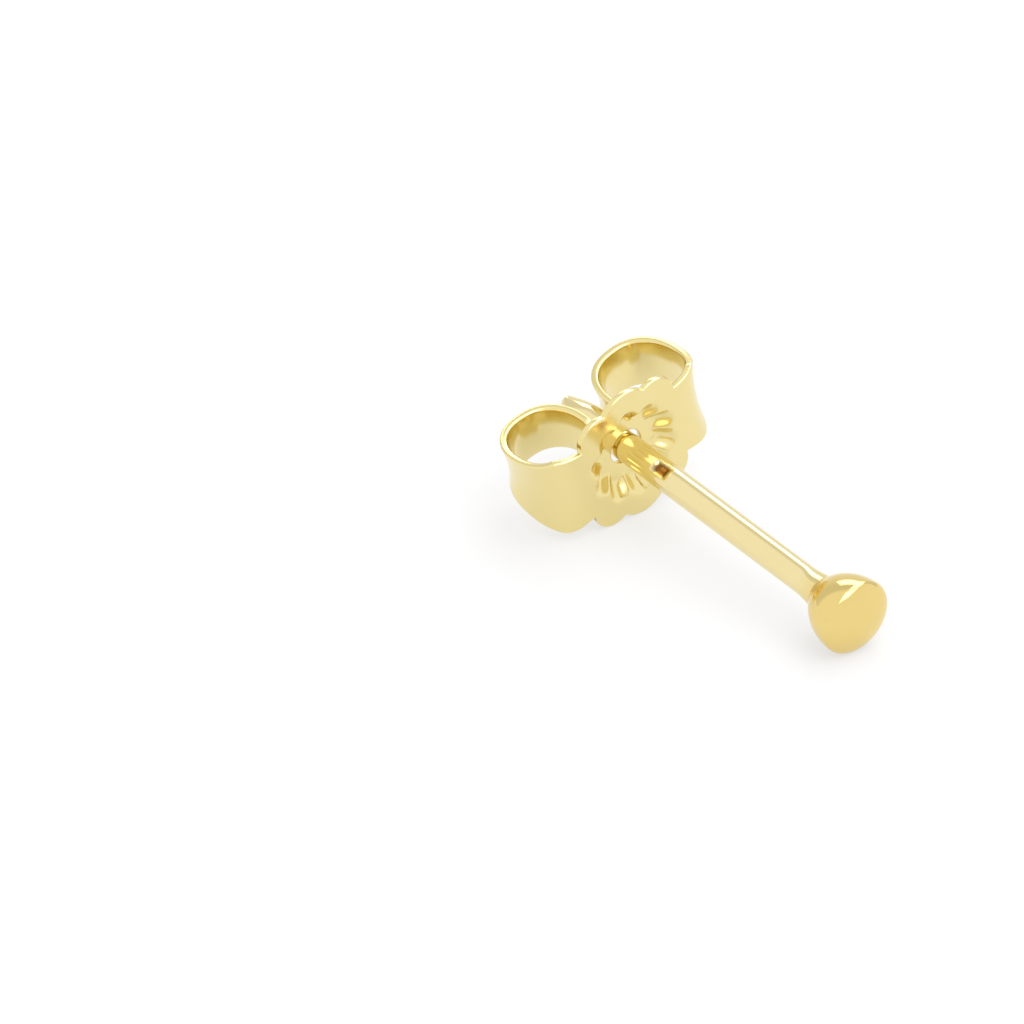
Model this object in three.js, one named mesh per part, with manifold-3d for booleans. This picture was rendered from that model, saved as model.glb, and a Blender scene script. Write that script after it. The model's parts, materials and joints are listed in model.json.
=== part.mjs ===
import * as THREE from "three";
import { mergeVertices } from "three/addons/utils/BufferGeometryUtils.js";
import Module from "manifold-3d";

// Ball stud earring with its butterfly back, in millimetres, +Z up. It lies as it rests on a table: on the ball
// and on two neighbouring scallops of the back's plate. Seen from above, the post runs along X, ball towards +X.
// The earring's own frame, before it is laid down: x along the post towards the ball with 0 at the front of the
// butterfly back, y along the back's length, z across its width.

// Post and ball
const postDiameter = 0.8;
const ballDiameter = 2.12;
const ballFrontDepth = 0.42;
const ballBackDepth = 1.28;
const flareSharpness = 3.1;
const solderBehindBall = 1.95;
const solderLength = 0.9;
const solderSwell = 0.09;
const plateToBall = 8.8;
const plateToTip = 2.9;
const tipDiameter = 0.42;
const tipRounding = 0.14;
const tipTaper = 1.0;

// Two dimples pressed into the post, on opposite sides, that the back snaps into when it is worn
const dimpleFromPlate = 1.28;
const dimpleLength = 0.66;
const dimpleWidth = 0.46;
const dimpleDepth = 0.07;
const dimpleTurn = THREE.MathUtils.degToRad(106);

// Butterfly back, stamped from one sheet
const sheetThickness = 0.2;
const backLength = 5.44;
const backDepth = 2.72;
const frontBend = 0.95;
const gripClearance = 0.03;
const curlPastGrip = THREE.MathUtils.degToRad(15);
const curlSquareness = 2.3;
const curlFlare = 0.1;
const tabRootWidth = 2.4;
const wingWidth = 2.6;
const wingPastFlat = 0.7;
const wingTaper = 3.5;
const tabEndWidth = 1.48;
const tabEndRounding = 0.35;
const tabEndNarrowing = 0.75;

// Scallops along the plate's top and bottom edges: one in the middle and one at each side of it
const middleScallop = { offset: 0, reach: 2.15, radius: 0.85 };
const sideScallop = { offset: 0.95, reach: 1.9, radius: 0.64 };

// Flower-shaped dish pressed into the plate around the hole
const dishDepth = 0.36;
const dishRadius = 1.56;
const dishWall = 0.56;
const petalCount = 10;
const petalInset = 0.22;
const holeClearance = 0.1;

// Fineness of the faceted surfaces
const roundSides = 32;
const widthSteps = 22;
const flatStep = 0.092;
const curlStep = THREE.MathUtils.degToRad(15);
const tipSteps = 3;
const taperSteps = 4;
const dimpleSteps = 8;
const solderSteps = 6;
const flareSteps = 9;
const frontSteps = 7;
const tiltHalvings = 40;

const gold = { color: 0xe3c15a, metalness: 1.0, roughness: 0.12 };
const postRadius = postDiameter / 2;
const ballRadius = ballDiameter / 2;
const quarterTurn = Math.PI / 2;

function smooth(value) {
  const inside = THREE.MathUtils.clamp(value, 0, 1);
  return inside * inside * (3 - 2 * inside);
}

// Evenly spaced numbers from one value to another, both ends included, no step longer than the one asked for.
function spaced(from, to, step) {
  const count = Math.max(1, Math.ceil(Math.abs(to - from) / step - 1e-9));
  return Array.from({ length: count + 1 }, (_, i) => from + ((to - from) * i) / count);
}

// Radius of the stud behind the ball's widest circle. The solder swells the post a little, and the ball's half
// ellipse is joined to it by the root of the sum of their powers, which gives the smooth flare.
function studRadius(behind) {
  const power = flareSharpness;
  const neck = postRadius + solderSwell * smooth((solderBehindBall - behind) / solderLength);
  const bead = Math.pow(Math.pow(ballRadius, power) - Math.pow(postRadius + solderSwell, power), 1 / power);
  const share = Math.min(1, behind / ballBackDepth);
  const ellipse = bead * Math.sqrt(1 - share * share);
  return Math.pow(Math.pow(neck, power) + Math.pow(ellipse, power), 1 / power);
}

// Outline of ball and post as radius and place along the post, from the tip to the ball's front pole.
function studProfile() {
  const tipRadius = tipDiameter / 2;
  const points = [];
  for (const angle of spaced(0, quarterTurn, quarterTurn / tipSteps)) {
    points.push([tipRadius * Math.sin(angle), tipRounding * (1 - Math.cos(angle)) - plateToTip]);
  }
  const taperStart = tipRounding - plateToTip;
  for (const share of spaced(0, 1, 1 / taperSteps).slice(1)) {
    const swell = Math.sin(share * quarterTurn);
    points.push([tipRadius + (postRadius - tipRadius) * swell, taperStart + tipTaper * share]);
  }
  const dimpleStart = dimpleFromPlate - dimpleLength / 2;
  for (const place of spaced(dimpleStart, dimpleStart + dimpleLength, dimpleLength / dimpleSteps)) {
    points.push([postRadius, place]);
  }
  for (const behind of spaced(solderBehindBall, ballBackDepth, solderLength / solderSteps).slice(0, -1)) {
    points.push([studRadius(behind), plateToBall - behind]);
  }
  for (const angle of spaced(0, quarterTurn, quarterTurn / flareSteps)) {
    const behind = ballBackDepth * Math.cos(angle);
    points.push([studRadius(behind), plateToBall - behind]);
  }
  for (const angle of spaced(0, quarterTurn, quarterTurn / frontSteps).slice(1)) {
    const radius = angle > quarterTurn - 1e-9 ? 0 : ballRadius * Math.cos(angle);
    points.push([radius, plateToBall + ballFrontDepth * Math.sin(angle)]);
  }
  return points.map(([radius, place]) => new THREE.Vector2(radius, place));
}

// How deep the two dimples are pressed at a place along the post and an angle around it.
function dimplePress(place, angle) {
  const along = (place - dimpleFromPlate) / (dimpleLength / 2);
  const offset = Math.asin(Math.sin(angle - dimpleTurn)) * postRadius;
  const across = offset / (dimpleWidth / 2);
  return dimpleDepth * smooth(1 - along * along) * smooth(1 - across * across);
}

function makeStud() {
  const shape = new THREE.LatheGeometry(studProfile(), roundSides);
  shape.rotateZ(-quarterTurn);
  const place = shape.getAttribute("position");
  for (let i = 0; i < place.count; i += 1) {
    const y = place.getY(i);
    const z = place.getZ(i);
    const radius = Math.hypot(y, z);
    if (radius > postRadius / 2) {
      const share = 1 - dimplePress(place.getX(i), Math.atan2(z, y)) / radius;
      place.setXYZ(i, place.getX(i), y * share, z * share);
    }
  }
  return shape;
}

// One quarter of a rounded corner between two half axes: place and outward direction at an angle from the front.
function roundedQuarter(angle, halfLong, halfDeep) {
  const squareness = curlSquareness;
  const long = Math.sign(Math.sin(angle)) * Math.pow(Math.abs(Math.sin(angle)), 2 / squareness);
  const deep = Math.sign(Math.cos(angle)) * Math.pow(Math.abs(Math.cos(angle)), 2 / squareness);
  const normal = new THREE.Vector2(
    (Math.sign(deep) * Math.pow(Math.abs(deep), squareness - 1)) / halfDeep,
    (Math.sign(long) * Math.pow(Math.abs(long), squareness - 1)) / halfLong
  );
  return { long: long * halfLong, deep: deep * halfDeep, normal: normal.normalize() };
}

// Stations along one half of the sheet's middle line, from the hole outwards: flat plate, then the curl, out
// round the end, back behind the plate and in to the side of the post. x is along the post, y along the back.
function halfStations() {
  const outer = backLength / 2 - sheetThickness / 2;
  const inner = postRadius + gripClearance + sheetThickness / 2;
  const flatEnd = outer - frontBend;
  const curlHalf = (outer - inner) / 2;
  const curlDeep = (backDepth - sheetThickness) / 2;
  const curlCentre = -sheetThickness / 2 - curlDeep;
  const stations = spaced(0, flatEnd, flatStep).map((y) => (
    { x: -sheetThickness / 2, y, normal: new THREE.Vector2(1, 0) }
  ));
  for (const angle of spaced(0, 3 * quarterTurn + curlPastGrip, curlStep).slice(1)) {
    const onFront = angle < quarterTurn;
    const part = roundedQuarter(angle, onFront ? frontBend : curlHalf, curlDeep);
    const middle = onFront ? flatEnd : outer - curlHalf;
    stations.push({ x: curlCentre + part.deep, y: middle + part.long, normal: part.normal });
  }
  let length = 0;
  stations.forEach((station, i) => {
    if (i > 0) {
      length += Math.hypot(station.x - stations[i - 1].x, station.y - stations[i - 1].y);
    }
    station.length = length;
  });
  return { stations, rootLength: flatEnd, endLength: length };
}

// Half the sheet's width inside one scallop, a round arc that ends where it has fallen by its own radius.
function scallopReach(length, scallop) {
  const share = Math.abs(length - scallop.offset) / scallop.radius;
  return share < 1 ? scallop.reach - scallop.radius * (1 - Math.sqrt(1 - share * share)) : 0;
}

// Half the sheet's width at a length along it from the hole: scallops on the plate, then a tab that widens from
// the last scallop to the wing and narrows to its end.
function halfWidth(length, rootLength, endLength) {
  const notchLength = sideScallop.offset + sideScallop.radius;
  const wingLength = rootLength + wingPastFlat;
  const widening = smooth((length - notchLength) / (wingLength - notchLength));
  const share = THREE.MathUtils.clamp((length - wingLength) / (endLength - wingLength), 0, 1);
  const narrowing = 1 - Math.pow(1 - share, wingTaper);
  const width = tabRootWidth + (wingWidth - tabRootWidth) * widening - (wingWidth - tabEndWidth) * narrowing;
  const near = Math.max(0, 1 - (endLength - length) / tabEndRounding);
  const rounded = (width / 2) * Math.sqrt(1 - tabEndNarrowing * near * near);
  return Math.max(rounded, scallopReach(length, middleScallop), scallopReach(length, sideScallop));
}

// How deep the dish lies at a point of the plate: a flower outline with a petal straight up and one straight down,
// a sloping wall inside it and a level floor.
function dishAt(length, width) {
  const radius = Math.hypot(length, width);
  const petal = Math.abs(Math.cos((petalCount / 2) * Math.atan2(length, width)));
  const outline = dishRadius - petalInset * (1 - petal);
  return dishDepth * smooth((outline - radius) / dishWall);
}

// How far the curl's edges stand out from its middle: nothing on the flat plate, all of it past the front bend.
function flareAt(length, rootLength, share) {
  return curlFlare * smooth((length - rootLength) / frontBend) * share * share;
}

// A closed skin over rings of points. Each ring goes along the front of the sheet and returns along its back, and
// the first and last rings are closed by strips between their two halves.
function skin(rings) {
  const ringSize = rings[0].length;
  const half = ringSize / 2;
  const triangles = [];
  const at = (ring, i) => ring * ringSize + (i % ringSize);
  for (let ring = 0; ring + 1 < rings.length; ring += 1) {
    for (let i = 0; i < ringSize; i += 1) {
      triangles.push(at(ring, i), at(ring + 1, i + 1), at(ring + 1, i));
      triangles.push(at(ring, i), at(ring, i + 1), at(ring + 1, i + 1));
    }
  }
  for (let i = 0; i + 1 < half; i += 1) {
    const back = ringSize - 1 - i;
    const last = rings.length - 1;
    triangles.push(at(0, i), at(0, back), at(0, i + 1));
    triangles.push(at(0, i + 1), at(0, back), at(0, back - 1));
    triangles.push(at(last, i), at(last, i + 1), at(last, back));
    triangles.push(at(last, i + 1), at(last, back - 1), at(last, back));
  }
  const shape = new THREE.BufferGeometry();
  shape.setAttribute("position", new THREE.Float32BufferAttribute(rings.flat(2), 3));
  shape.setIndex(triangles);
  return shape;
}

function makeSheet() {
  const { stations, rootLength, endLength } = halfStations();
  const mirrored = stations.slice(1).reverse().map((station) => ({ ...station, side: -1 }));
  const whole = [...mirrored, ...stations.map((station) => ({ ...station, side: 1 }))];
  const rings = whole.map(({ x, y, normal, length, side }) => {
    const half = halfWidth(length, rootLength, endLength);
    const widths = Array.from({ length: widthSteps + 1 }, (_, i) => half * (1 - (2 * i) / widthSteps));
    const point = (width, offset) => {
      const lift = offset - dishAt(length, width) + flareAt(length, rootLength, width / half);
      return [x + normal.x * lift, side * (y + normal.y * lift), width];
    };
    const front = widths.map((width) => point(width, sheetThickness / 2));
    const back = widths.map((width) => point(width, -sheetThickness / 2)).reverse();
    return [...front, ...back];
  });
  return skin(rings);
}

function makeHoleCutter() {
  const radius = postRadius + holeClearance;
  const from = -(dishDepth + 1.5 * sheetThickness);
  const profile = [[0, from], [radius, from], [radius, sheetThickness], [0, sheetThickness]];
  const shape = new THREE.LatheGeometry(profile.map(([r, x]) => new THREE.Vector2(r, x)), roundSides);
  shape.rotateZ(-quarterTurn);
  return shape;
}

// Manifold works on closed meshes whose shared vertices are merged, with positions only.
function toManifold(wasm, shape) {
  const bare = new THREE.BufferGeometry();
  bare.setAttribute("position", shape.getAttribute("position"));
  bare.setIndex(shape.getIndex());
  const merged = mergeVertices(bare, 1e-5);
  const index = merged.getIndex().array;
  const kept = [];
  for (let i = 0; i < index.length; i += 3) {
    const [a, b, c] = [index[i], index[i + 1], index[i + 2]];
    if (a !== b && b !== c && c !== a) {
      kept.push(a, b, c);
    }
  }
  const vertProperties = new Float32Array(merged.getAttribute("position").array);
  const mesh = new wasm.Mesh({ numProp: 3, vertProperties, triVerts: new Uint32Array(kept) });
  return new wasm.Manifold(mesh);
}

function fromManifold(solid) {
  const mesh = solid.getMesh();
  const shape = new THREE.BufferGeometry();
  shape.setAttribute("position", new THREE.Float32BufferAttribute(mesh.vertProperties, 3));
  shape.setIndex(Array.from(mesh.triVerts));
  shape.computeVertexNormals();
  return shape;
}

// Roll about the post at which the middle scallop and the side scallop next to it stand level: the slope of the
// line that touches both of their arcs.
function restingRoll() {
  const drop = middleScallop.reach - middleScallop.radius - sideScallop.reach + sideScallop.radius;
  const apart = Math.hypot(sideScallop.offset, drop);
  const slope = Math.atan2(drop, sideScallop.offset);
  return slope + Math.asin((middleScallop.radius - sideScallop.radius) / apart);
}

// Height of a shape's lowest vertex once it is rolled about x and then tilted about y.
function lowest(shape, roll, tilt) {
  const turn = new THREE.Matrix4().makeRotationY(tilt);
  turn.multiply(new THREE.Matrix4().makeRotationX(roll));
  const place = shape.getAttribute("position");
  const point = new THREE.Vector3();
  let height = Infinity;
  for (let i = 0; i < place.count; i += 1) {
    height = Math.min(height, point.fromBufferAttribute(place, i).applyMatrix4(turn).z);
  }
  return height;
}

// Tilt of the post at which the ball and the back stand on the same level, found by halving.
function restingTilt(stud, back, roll) {
  const ball = new THREE.BufferGeometry();
  const place = stud.getAttribute("position");
  const kept = Array.from({ length: place.count }, (_, i) => new THREE.Vector3().fromBufferAttribute(place, i));
  ball.setFromPoints(kept.filter((point) => point.x > plateToBall - ballBackDepth / 2));
  let low = -quarterTurn / 3;
  let high = quarterTurn / 2;
  for (let i = 0; i < tiltHalvings; i += 1) {
    const middle = (low + high) / 2;
    if (lowest(ball, roll, middle) > lowest(back, roll, middle)) {
      low = middle;
    } else {
      high = middle;
    }
  }
  return (low + high) / 2;
}

const wasm = await Module();
wasm.setup();

const studShape = makeStud();
const sheetSolid = toManifold(wasm, makeSheet());
const holeSolid = toManifold(wasm, makeHoleCutter());
const backShape = fromManifold(sheetSolid.subtract(holeSolid));

const stud = new THREE.Mesh(studShape, new THREE.MeshStandardMaterial(gold));
stud.name = "ball_post";
const back = new THREE.Mesh(backShape, new THREE.MeshStandardMaterial(gold));
back.name = "butterfly_clutch";

const roll = restingRoll();
const tilt = restingTilt(studShape, backShape, roll);
const rolled = new THREE.Group();
rolled.rotation.x = roll;
rolled.add(stud, back);
const earring = new THREE.Group();
earring.rotation.y = tilt;
earring.add(rolled);

const model = new THREE.Group();
model.add(earring);
model.updateMatrixWorld(true);
const box = new THREE.Box3().setFromObject(model, true);
const centre = box.getCenter(new THREE.Vector3());
earring.position.set(-centre.x, -centre.y, -box.min.z);

export default model;
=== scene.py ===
"""A gold ball stud earring with its butterfly back, lying on a white table. Metres, +Z up."""

import json
import math

import bmesh
import bpy
import numpy as np
from mathutils import Matrix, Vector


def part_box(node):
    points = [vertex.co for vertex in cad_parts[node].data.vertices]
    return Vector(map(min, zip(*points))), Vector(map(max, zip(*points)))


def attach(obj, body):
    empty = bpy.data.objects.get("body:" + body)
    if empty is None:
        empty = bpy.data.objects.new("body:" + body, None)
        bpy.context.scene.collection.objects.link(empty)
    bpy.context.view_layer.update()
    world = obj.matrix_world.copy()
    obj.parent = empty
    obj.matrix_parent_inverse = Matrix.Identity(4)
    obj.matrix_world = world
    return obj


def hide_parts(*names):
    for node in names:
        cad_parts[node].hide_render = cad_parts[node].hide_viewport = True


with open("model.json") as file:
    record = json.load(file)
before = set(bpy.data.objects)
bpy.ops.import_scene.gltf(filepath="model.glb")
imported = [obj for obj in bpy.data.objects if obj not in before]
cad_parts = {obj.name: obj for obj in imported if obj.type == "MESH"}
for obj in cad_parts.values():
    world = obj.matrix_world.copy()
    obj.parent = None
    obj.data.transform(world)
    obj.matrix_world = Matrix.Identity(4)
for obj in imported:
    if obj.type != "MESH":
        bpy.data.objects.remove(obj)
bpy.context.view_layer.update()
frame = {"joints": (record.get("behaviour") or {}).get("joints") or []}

# The butterfly back is a blank of thin gold sheet, stamped with a flower-shaped dish and a hole for the post
# and cut to scallops above and below them. Its two long tabs are rolled back into loops that spring against
# the sides of the post, and its edges are softened in a tumbling barrel. The sizes are millimetres.
MM = 0.001
POST = 0.4
SHEET = 0.2
BACK_LONG = 5.44
BACK_DEEP = 2.72
FRONT_BEND = 0.95
GRIP_ROOM = 0.03
SQUARENESS = 2.3
CURL_TURN = math.radians(285)
CURL_FLARE = 0.1
TAB_ROOT, WING, TAB_END = 1.2, 1.3, 0.74
WING_PAST_FLAT, WING_TAPER = 0.7, 3.5
TAB_ROUND, TAB_NARROW = 0.35, 0.75
# Each scallop's place from the middle of the plate, its reach from the post's axis and its radius.
SCALLOPS = ((0.0, 2.15, 0.85), (0.95, 1.9, 0.64))
SCALLOP_BLEND = 0.012
DISH_DEEP, DISH_REACH, DISH_WALL = 0.36, 1.56, 0.56
PETALS, PETAL_INSET, CREASE = 10, 0.22, 0.3
HOLE = 0.5
SOFT_EDGE = 0.055
# Where the close rows over the dish end, and how many rows each part of the sheet has.
CLOSE_ROWS_TO = 1.65
HOLE_ROWS, DISH_ROWS, CURL_ROWS, ROUND_ROWS = 49, 56, 120, 6
ROWS_ACROSS, CORNER_ROWS = 34, 5
BEND_STEPS = 6000


def smooth(value):
    """Three times the square less twice the cube of a share, which is held between 0 and 1."""
    share = np.clip(value, 0, 1)
    return share * share * (3 - 2 * share)


def signed_power(value, exponent):
    """A power of a number's size, with the number's sign."""
    return np.sign(value) * np.abs(value) ** exponent


def bent_line():
    """Middle line of half the sheet from the hole out. It runs straight along the plate, then through
    quarters of superellipses, where |long|^n + |deep|^n = 1 and the first has its own half axis. Gives the
    length along it, the places along post and back, and the two parts of the direction that the front
    looks in."""
    outer = BACK_LONG / 2 - SHEET / 2
    inner = POST + GRIP_ROOM + SHEET / 2
    flat_end = outer - FRONT_BEND
    half_curl = (outer - inner) / 2
    half_deep = (BACK_DEEP - SHEET) / 2
    turn = np.linspace(0, CURL_TURN, BEND_STEPS)
    first = turn < math.pi / 2
    half_long = np.where(first, FRONT_BEND, half_curl)
    middle = np.where(first, flat_end, outer - half_curl)
    long = signed_power(np.sin(turn), 2 / SQUARENESS)
    deep = signed_power(np.cos(turn), 2 / SQUARENESS)
    look_deep = signed_power(deep, SQUARENESS - 1) / half_deep
    look_long = signed_power(long, SQUARENESS - 1) / half_long
    size = np.hypot(look_deep, look_long)
    x = np.concatenate([[-SHEET / 2], -SHEET / 2 - half_deep + half_deep * deep])
    y = np.concatenate([[0.0], middle + half_long * long])
    look_x = np.concatenate([[1.0], look_deep / size])
    look_y = np.concatenate([[0.0], look_long / size])
    length = np.concatenate([[0.0], np.cumsum(np.hypot(np.diff(x), np.diff(y)))])
    return length, x, y, look_x, look_y, flat_end


def half_width(length, flat_end, end):
    """Half the sheet's width at a length from the hole: the tab widens past the last scallop, narrows by a
    power of what is left of it and is rounded at its end, the scallops are round arcs, and a soft maximum
    joins them."""
    notch = SCALLOPS[-1][0] + SCALLOPS[-1][2]
    wing = flat_end + WING_PAST_FLAT
    share = np.clip((length - wing) / (end - wing), 0, 1)
    near = np.clip(1 - (end - length) / TAB_ROUND, 0, 1)
    broad = TAB_ROOT + (WING - TAB_ROOT) * smooth((length - notch) / (wing - notch))
    narrowed = broad - (WING - TAB_END) * (1 - (1 - share) ** WING_TAPER)
    widths = [narrowed * np.sqrt(1 - TAB_NARROW * near ** 2)]
    for offset, reach, radius in SCALLOPS:
        across = np.clip(np.abs(length - offset) / radius, 0, 1)
        widths.append(reach - radius * (1 - np.sqrt(1 - across ** 2)) - np.where(across < 1, 0, reach))
    return SCALLOP_BLEND * np.log(sum(np.exp(width / SCALLOP_BLEND) for width in widths))


def dish(length, width):
    """Depth of the stamped dish: a flower outline, drawn in between its petals by a folded cosine whose folds
    are rounded by the root of its square and a small one, with a smooth wall inside it and a level floor."""
    fold = np.cos(PETALS / 2 * np.arctan2(length, width))
    petal = (np.hypot(fold, CREASE) - CREASE) / (math.hypot(1, CREASE) - CREASE)
    outline = DISH_REACH - PETAL_INSET * (1 - petal)
    return DISH_DEEP * smooth((outline - np.hypot(length, width)) / DISH_WALL)


def sheet_points(length, width, lift):
    """Points of the sheet at signed lengths and widths, lifted off its middle line along the front's
    direction. Past the flat its edges stand out by the square of their share of the half width."""
    far, x, y, look_x, look_y, flat_end = bent_line()
    along = np.abs(length)
    side = np.where(length < 0, -1.0, 1.0)
    share = width / half_width(along, flat_end, far[-1])
    flare = CURL_FLARE * smooth((along - flat_end) / FRONT_BEND) * share ** 2
    raised = lift - dish(length, width) + flare
    post = np.interp(along, far, x) + np.interp(along, far, look_x) * raised
    back = side * (np.interp(along, far, y) + np.interp(along, far, look_y) * raised)
    return np.stack(np.broadcast_arrays(post, back, width), -1)


def grid_faces(rows, columns, start, closed=False):
    """Corner numbers of the four-sided faces of a grid of points whose rows follow each other from a number
    on. A closed grid's last column joins its first."""
    row = np.arange(rows - 1)[:, None] * columns
    column = np.arange(columns if closed else columns - 1)[None, :]
    after = (column + 1) % columns
    corners = [row + column, row + columns + column, row + columns + after, row + after]
    return start + np.stack(np.broadcast_arrays(*corners), -1).reshape(-1, 4)


def solid_piece(name, points, faces, notes):
    """A closed mesh from points in metres. Points that meet are joined, faces are turned outwards, and each
    note is kept as a number per point for the material to read."""
    meeting = 2e-8
    mesh = bpy.data.meshes.new(name)
    mesh.from_pydata(points.tolist(), [], faces.tolist())
    for note, values in notes.items():
        mesh.attributes.new(note, "FLOAT", "POINT").data.foreach_set("value", values.astype(np.float32))
    joined = bmesh.new()
    joined.from_mesh(mesh)
    bmesh.ops.remove_doubles(joined, verts=joined.verts, dist=meeting)
    bmesh.ops.recalc_face_normals(joined, faces=joined.faces)
    joined.to_mesh(mesh)
    joined.free()
    mesh.shade_smooth()
    piece = bpy.data.objects.new(name, mesh)
    bpy.context.collection.objects.link(piece)
    return piece


def back_mesh():
    """The sheet as an upper and a lower half. Each is a grid: along it the lengths, and across it one ring
    over the front, round the softened edge and over the back. At the hole the halves part along its circle,
    and a wall with softened rims closes it."""
    far, *_, flat_end = bent_line()
    end = far[-1]
    rim = HOLE + SOFT_EDGE
    turns = np.linspace(0, math.pi, HOLE_ROWS)
    near = np.linspace(rim, CLOSE_ROWS_TO, DISH_ROWS)[1:]
    curl = np.linspace(CLOSE_ROWS_TO, end - SOFT_EDGE, CURL_ROWS)[1:]
    quarter = np.linspace(0, math.pi / 2, ROUND_ROWS)[1:]
    tip = end - SOFT_EDGE + SOFT_EDGE * np.sin(quarter)
    outward = np.concatenate([near, curl, tip])
    lengths = np.concatenate([-outward[::-1], -rim * np.cos(turns), outward])
    thinned = np.zeros(len(outward))
    thinned[-len(tip):] = SOFT_EDGE * (1 - np.cos(quarter))
    thinner = np.concatenate([thinned[::-1], np.zeros(len(turns)), thinned])[:, None]
    inner = np.sqrt(np.clip(rim ** 2 - lengths ** 2, 0, None))
    inner[len(outward)] = inner[-len(outward) - 1] = 0
    edge = half_width(np.abs(lengths), flat_end, end) - thinner[:, 0]
    across = np.linspace(0, 1, ROWS_ACROSS)
    corner = np.linspace(0, math.pi / 2, CORNER_ROWS)[1:]
    half_thick = SHEET / 2 - thinner
    soft = np.minimum(SOFT_EDGE, half_thick)
    width = inner[:, None] + (edge[:, None] - soft - inner[:, None]) * across
    width_round = edge[:, None] - soft + soft * np.sin(corner)
    lift_round = half_thick - soft + soft * np.cos(corner)
    flat = np.broadcast_to(half_thick, width.shape)
    widths = np.concatenate([width, width_round, width_round[:, ::-1], width[:, ::-1]], 1)
    lifts = np.concatenate([flat, lift_round, -lift_round[:, ::-1], -flat[:, ::-1]], 1)
    stations, ring = widths.shape
    upper = sheet_points(lengths[:, None], widths, lifts)
    lower = upper * [1, 1, -1]
    count = stations * ring
    parts = [grid_faces(stations, ring, 0), grid_faces(stations, ring, count)]
    row = np.arange(ring // 2 - 1)
    for start in (0, count - ring, count, 2 * count - ring):
        parts.append(start + np.stack([row, row + 1, ring - 2 - row, ring - 1 - row], -1))
    around = np.concatenate([-turns[:0:-1], turns[:-1]])
    round_in = np.linspace(math.pi / 2, 0, ROUND_ROWS)
    wall_radius = HOLE + SOFT_EDGE - SOFT_EDGE * np.cos(round_in)
    wall_lift = SHEET / 2 - SOFT_EDGE + SOFT_EDGE * np.sin(round_in)
    radius = np.concatenate([wall_radius, wall_radius[::-1]])[:, None]
    lift = np.concatenate([wall_lift, -wall_lift[::-1]])[:, None]
    wall = sheet_points(-radius * np.cos(around), radius * np.sin(around), lift)
    parts.append(grid_faces(len(radius), len(around), 2 * count, closed=True))
    points = np.concatenate([upper.reshape(-1, 3), lower.reshape(-1, 3), wall.reshape(-1, 3)])
    return points, np.concatenate(parts)


# How the earring lies: rolled until two neighbouring scallops of the back stand level, and tilted with the
# post.
(middle_offset, middle_reach, middle_radius), (side_offset, side_reach, side_radius) = SCALLOPS
drop = middle_reach - middle_radius - side_reach + side_radius
apart = math.hypot(side_offset, drop)
roll = math.atan2(drop, side_offset) + math.asin((middle_radius - side_radius) / apart)
post_way = np.array(frame["joints"][0]["axis"], float)
post_way /= np.linalg.norm(post_way)
tilt = math.asin(-post_way[2])
rolled = np.array([[1, 0, 0], [0, math.cos(roll), -math.sin(roll)], [0, math.sin(roll), math.cos(roll)]])
tilted = np.array([[math.cos(tilt), 0, math.sin(tilt)], [0, 1, 0], [-math.sin(tilt), 0, math.cos(tilt)]])
lie = tilted @ rolled


def laid(points, node):
    """Points of the earring's own frame, in millimetres, turned as it lies and set where a CAD node is, by
    the centres of the two boxes. In metres."""
    turned = points @ lie.T * MM
    low, high = (np.array(corner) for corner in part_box(node))
    return turned + (low + high) / 2 - (turned.min(0) + turned.max(0)) / 2


class Wire:
    """A socket of a material. Its operators add Math nodes, so an expression on wires and numbers is shader
    maths."""

    def __init__(self, tree, socket=None):
        self.tree = tree
        self.socket = socket

    def node(self, kind, settings=None, sockets=None, out=0):
        """A new node of a type, its settings made first, then its sockets set or linked, as a wire of one
        output."""
        made = self.tree.nodes.new(kind)
        for key, value in (settings or {}).items():
            if key == "stops":
                ramp = made.color_ramp.elements
                while len(ramp) < len(value):
                    ramp.new(1.0)
                for stop, (place, colour) in zip(ramp, value):
                    stop.position, stop.color = place, colour
            else:
                setattr(made, key, value)
        for key, value in (sockets or {}).items():
            if isinstance(value, Wire):
                self.tree.links.new(value.socket, made.inputs[key])
            else:
                made.inputs[key].default_value = value
        return Wire(self.tree, made.outputs[out] if made.outputs else None)

    def maths(self, operation, *terms):
        """What a Math node makes of its terms."""
        return self.node("ShaderNodeMath", {"operation": operation}, dict(enumerate(terms)))

    def __add__(self, other):
        return self.maths("ADD", self, other)

    def __radd__(self, other):
        return self.maths("ADD", other, self)

    def __sub__(self, other):
        return self.maths("SUBTRACT", self, other)

    def __rsub__(self, other):
        return self.maths("SUBTRACT", other, self)

    def __mul__(self, other):
        return self.maths("MULTIPLY", self, other)

    def __rmul__(self, other):
        return self.maths("MULTIPLY", other, self)

    def blend(self, low, high):
        """One colour where this wire is 0 and another where it is 1."""
        return self.node("ShaderNodeMix", {"data_type": "RGBA"}, {"Factor": self, 6: low, 7: high}, out=2)


def blank_material(name):
    """A material with an empty tree, and the wire that its nodes are made from."""
    material = bpy.data.materials.new(name)
    material.use_nodes = True
    material.node_tree.nodes.clear()
    return material, Wire(material.node_tree)


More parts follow.
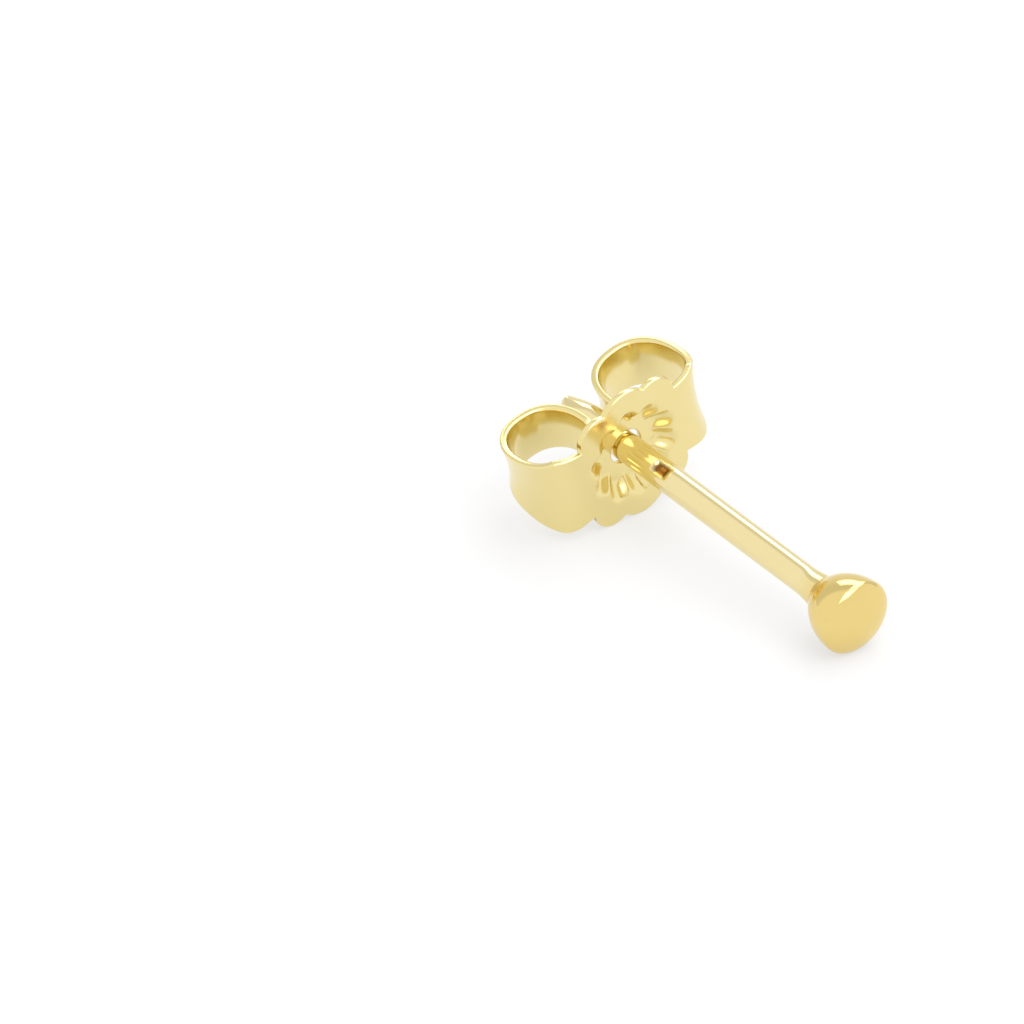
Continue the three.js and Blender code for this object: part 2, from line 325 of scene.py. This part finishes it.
def polished(start, deep, pale, wave, haze, marks):
    """The surface of polished gold: a metal whose tone drifts from deep to pale, with fine handling marks
    that scatter a little and a slight waviness left by the polishing wheel. The waves are about 2 mm long,
    and the marks 0.1 mm wide and drawn out along the post. wave is the bump's height in metres, haze the
    least roughness and marks the strength of the marks."""
    place = start.node("ShaderNodeTexCoord", out="Object")
    slow = start.node("ShaderNodeTexNoise", None, {"Vector": place, "Scale": 420.0, "Detail": 3.0})
    fine = start.node("ShaderNodeTexNoise", None, {"Vector": place, "Scale": 9000.0, "Detail": 4.0})
    streaks = start.node("ShaderNodeMapping", None, {"Vector": place, "Scale": (900.0, 9000.0, 9000.0)})
    drawn = start.node("ShaderNodeTexNoise", None, {"Vector": streaks, "Scale": 1.0, "Detail": 2.0})
    tone = slow.blend(deep, pale)
    rough = haze + 0.06 * slow + marks * (0.6 * fine + 0.4 * drawn)
    height = slow + 0.003 * fine
    bump = start.node("ShaderNodeBump", None, {"Height": height, "Distance": wave, "Strength": 0.5})
    surface = start.node("ShaderNodeBsdfPrincipled", None,
                         {"Base Color": tone, "Roughness": rough, "Normal": bump, "Metallic": 1.0})
    start.node("ShaderNodeOutputMaterial", None, {"Surface": surface})


points, faces = back_mesh()
butterfly = solid_piece("butterfly_back", laid(points, "butterfly_clutch"), faces, {})
tumbled, start = blank_material("tumbled_gold")
polished(start, (0.83, 0.69, 0.31, 1), (0.86, 0.74, 0.36, 1), 0.000012, 0.12, 0.07)
butterfly.data.materials.append(tumbled)
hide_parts("butterfly_clutch")
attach(butterfly, "back")

# The ball is solid gold, a little flattened in front, and is soldered to a drawn wire post. The solder runs
# out into a smooth flare behind the ball. The post has a rounded, tapered tip and two pressed dimples that
# the back clicks onto. Both are polished by hand. The dimples are painted dark brown as painted shade in
# their hollows.
BALL = 1.06
BALL_FRONT, BALL_BEHIND = 0.42, 1.28
FLARE = 3.1
SOLDER_PLACE, SOLDER_LONG, SOLDER_SWELL = 6.85, 0.9, 0.09
BALL_PLACE = 8.8
TIP_PLACE, TIP, TIP_ROUND, TIP_TAPER = -2.9, 0.21, 0.14, 1.0
DIMPLE_PLACE, DIMPLE_LONG, DIMPLE_WIDE, DIMPLE_DEEP = 1.28, 0.66, 0.46, 0.07
DIMPLE_TURN = math.radians(106)
# Where the plain rows before the dimples begin and end, and where they go on behind them.
PLAIN_START, PLAIN_END, PAST_DIMPLE = -1.5, 0.5, 1.9
PLAIN_ROWS, DIMPLE_ROWS, ROWS_AROUND = 12, 41, 144
# Where the painted shade of the solder flare and ball begins along the post, how fast it deepens, and how
# dark the painted shade in the dimples is.
BALL_SHADE_PLACE, BALL_SHADE_RISE, DIMPLE_SHADE = 6.9, 1.1, 1.3


def stud_outline():
    """Places along the post and radii, from the tip to the ball's front: a quarter ellipse, a sine taper, the
    straight post with a smooth swell of solder at its end, the root of the sum of powers of post and ball,
    and the front's quarter ellipse."""
    quarter = np.linspace(0, math.pi / 2, 14)
    share = np.linspace(0, 1, 24)[1:]
    plain = np.linspace(PLAIN_START, PLAIN_END, PLAIN_ROWS)
    dimple = np.linspace(-0.5, 0.5, DIMPLE_ROWS) * DIMPLE_LONG + DIMPLE_PLACE
    straight = np.linspace(PAST_DIMPLE, BALL_PLACE - BALL_BEHIND, 60)[:-1]
    behind = BALL_BEHIND * np.cos(np.linspace(0, math.pi / 2, 70))
    front = np.linspace(0, math.pi / 2, 40)[1:]
    swollen = POST + SOLDER_SWELL
    round_part = np.sqrt(1 - (behind / BALL_BEHIND) ** 2)
    bead = (BALL ** FLARE - swollen ** FLARE) ** (1 / FLARE) * round_part
    neck = POST + SOLDER_SWELL * smooth((BALL_PLACE - behind - SOLDER_PLACE) / SOLDER_LONG)
    place = np.concatenate([
        TIP_PLACE + TIP_ROUND * (1 - np.cos(quarter)),
        TIP_PLACE + TIP_ROUND + TIP_TAPER * share,
        plain,
        dimple,
        straight,
        BALL_PLACE - behind,
        BALL_PLACE + BALL_FRONT * np.sin(front)])
    radius = np.concatenate([
        TIP * np.sin(quarter),
        TIP + (POST - TIP) * np.sin(share * math.pi / 2),
        np.full(PLAIN_ROWS + DIMPLE_ROWS, POST),
        POST + SOLDER_SWELL * smooth((straight - SOLDER_PLACE) / SOLDER_LONG),
        (neck ** FLARE + bead ** FLARE) ** (1 / FLARE),
        BALL * np.cos(front)])
    radius[-1] = 0
    return place, radius


def stud_mesh():
    """The outline carried round the post's axis, with two dimples pressed in on opposite sides, each a
    product of two smooth steps, one along the post and one across it."""
    place, radius = stud_outline()
    turn = np.linspace(0, 2 * math.pi, ROWS_AROUND + 1)[:-1]
    along = (place[:, None] - DIMPLE_PLACE) / (DIMPLE_LONG / 2)
    across = np.arcsin(np.sin(turn - DIMPLE_TURN)) * POST / (DIMPLE_WIDE / 2)
    press = smooth(1 - along ** 2) * smooth(1 - across ** 2)
    reach = radius[:, None] - DIMPLE_DEEP * press
    x = np.broadcast_to(place[:, None], reach.shape)
    points = np.stack([x, reach * np.cos(turn), reach * np.sin(turn)], -1)
    notes = {"along": x.ravel(), "pressed": press.ravel()}
    return points.reshape(-1, 3), grid_faces(len(place), len(turn), 0, closed=True), notes


points, faces, notes = stud_mesh()
stud = solid_piece("ball_and_post", laid(points, "ball_post"), faces, notes)
hand_polished, start = blank_material("hand_polished_gold")
along = start.node("ShaderNodeAttribute", {"attribute_name": "along"}, out="Fac")
# How deep each point of a dimple is pressed sets how much painted shade darkens it there.
dimple_shade = start.node("ShaderNodeAttribute", {"attribute_name": "pressed"}, out="Fac") * DIMPLE_SHADE
# Painted shade: from the solder flare onto the ball the gold turns darker and deeper than the post's.
ballward_shade = (along - BALL_SHADE_PLACE) * BALL_SHADE_RISE
deep_gold = ballward_shade.blend((0.84, 0.7, 0.35, 1), (0.79, 0.6, 0.21, 1))
pale_gold = ballward_shade.blend((0.87, 0.75, 0.41, 1), (0.84, 0.66, 0.26, 1))
# Painted shade: the dimples turn dark brown where they are pressed deepest.
deep = dimple_shade.blend(deep_gold, (0.2, 0.09, 0.02, 1))
pale = dimple_shade.blend(pale_gold, (0.24, 0.11, 0.03, 1))
polished(start, deep, pale, 0.000002, 0.06, 0.03)
stud.data.materials.append(hand_polished)
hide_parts("ball_post")
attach(stud, "stud")

# The table is a sheet of white acrylic that the earring lies on, wide enough to fill every view and lit from
# below until it is plain white, so that the earring leaves only a soft shadow.
TABLE_REACH = 2.0
corners = [(-1, -1), (1, -1), (1, 1), (-1, 1)]
board = bpy.data.meshes.new("table")
board.from_pydata([(TABLE_REACH * x, TABLE_REACH * y, 0) for x, y in corners], [], [(0, 1, 2, 3)])
table = bpy.data.objects.new("table", board)
bpy.context.collection.objects.link(table)
acrylic = bpy.data.materials.new("lit_acrylic")
acrylic.use_nodes = True
sheet_look = acrylic.node_tree.nodes["Principled BSDF"].inputs
sheet_look["Base Color"].default_value = (0.27, 0.27, 0.27, 1)
sheet_look["Roughness"].default_value = 0.8
sheet_look["Specular IOR Level"].default_value = 0.0
sheet_look["Emission Color"].default_value = (0.99, 0.99, 1.0, 1)
sheet_look["Emission Strength"].default_value = 0.61
board.materials.append(acrylic)

# A light tent of white cloth stands round the table, a little darker behind the earring than around the
# camera. Two soft boxes overhead and a long low one behind the earring give the polished metal its white
# highlights. The directions are the camera's own right, and away from the camera along the table.
azimuth, elevation = math.radians(-38.161), math.radians(31.178)
level = np.array([-math.sin(azimuth), math.cos(azimuth), 0])
beyond = np.array([-math.cos(azimuth), -math.sin(azimuth), 0])
world = bpy.data.worlds.new("tent")
bpy.context.scene.world = world
world.use_nodes = True
world.node_tree.nodes.clear()
cloth = Wire(world.node_tree)
way = cloth.node("ShaderNodeTexCoord", out="Generated")
beyondness = cloth.node("ShaderNodeVectorMath", {"operation": "DOT_PRODUCT"}, {0: way, 1: beyond.tolist()},
                        out="Value")
tones = [(0.0, 1.04), (0.4, 1.04), (0.48, 0.8), (0.7, 0.8), (0.88, 0.9), (0.95, 0.95)]
stops = [(place, (tone, tone, tone, 1)) for place, tone in tones]
lit = cloth.node("ShaderNodeValToRGB", {"stops": stops}, {"Fac": beyondness})
backing = cloth.node("ShaderNodeBackground", None, {"Color": lit, "Strength": 1.0})
cloth.node("ShaderNodeOutputWorld", None, {"Surface": backing})
BOX_RADIANCE = 2.2


def soft_box(name, sideways, behind, high, wide, tall, faces_down):
    """A rectangular light that shines straight down or else at the earring. Its middle is given as metres to
    the camera's right, away from the camera and up."""
    light = bpy.data.lights.new(name, "AREA")
    light.shape = "RECTANGLE"
    light.size, light.size_y = wide, tall
    light.energy = BOX_RADIANCE * wide * tall * math.pi
    lamp = bpy.data.objects.new(name, light)
    bpy.context.collection.objects.link(lamp)
    place = sideways * level + behind * beyond + np.array([0, 0, high])
    face = np.array([0, 0, -1.0]) if faces_down else -place
    across = level - face * (level @ face) / (face @ face)
    across /= np.linalg.norm(across)
    out = -face / np.linalg.norm(face)
    lamp.rotation_euler = Matrix(np.stack([across, np.cross(out, across), out], 1).tolist()).to_euler()
    lamp.location = place


soft_box("overhead_far", 0.144, 0.15, 0.3, 0.24, 0.26, faces_down=True)
soft_box("overhead_near", 0.12, -0.19, 0.3, 0.3, 0.34, faces_down=True)
soft_box("behind", 0.04, 0.39, 0.311, 0.4, 0.141, faces_down=False)

# The camera stands 0.3 m from the earring with a long lens, and leans a little to its right.
lean, distance = math.radians(-2.258), 0.3
looked_at = np.array([-5.7197, -2.1261, 0]) * MM
scene = bpy.context.scene
scene.view_settings.view_transform = "Standard"
camera_data = bpy.data.cameras.new("camera")
camera = bpy.data.objects.new("camera", camera_data)
bpy.context.collection.objects.link(camera)
away = math.cos(elevation) * -beyond + np.array([0, 0, math.sin(elevation)])
upright = np.cross(away, level)
right = math.cos(lean) * level + math.sin(lean) * upright
up = math.cos(lean) * upright - math.sin(lean) * level
camera.location = looked_at + away * distance
camera.rotation_euler = Matrix(np.stack([right, up, away], 1).tolist()).to_euler()
camera_data.sensor_width = 36
camera_data.lens = 401.05
camera_data.clip_start = 0.01
scene.camera = camera
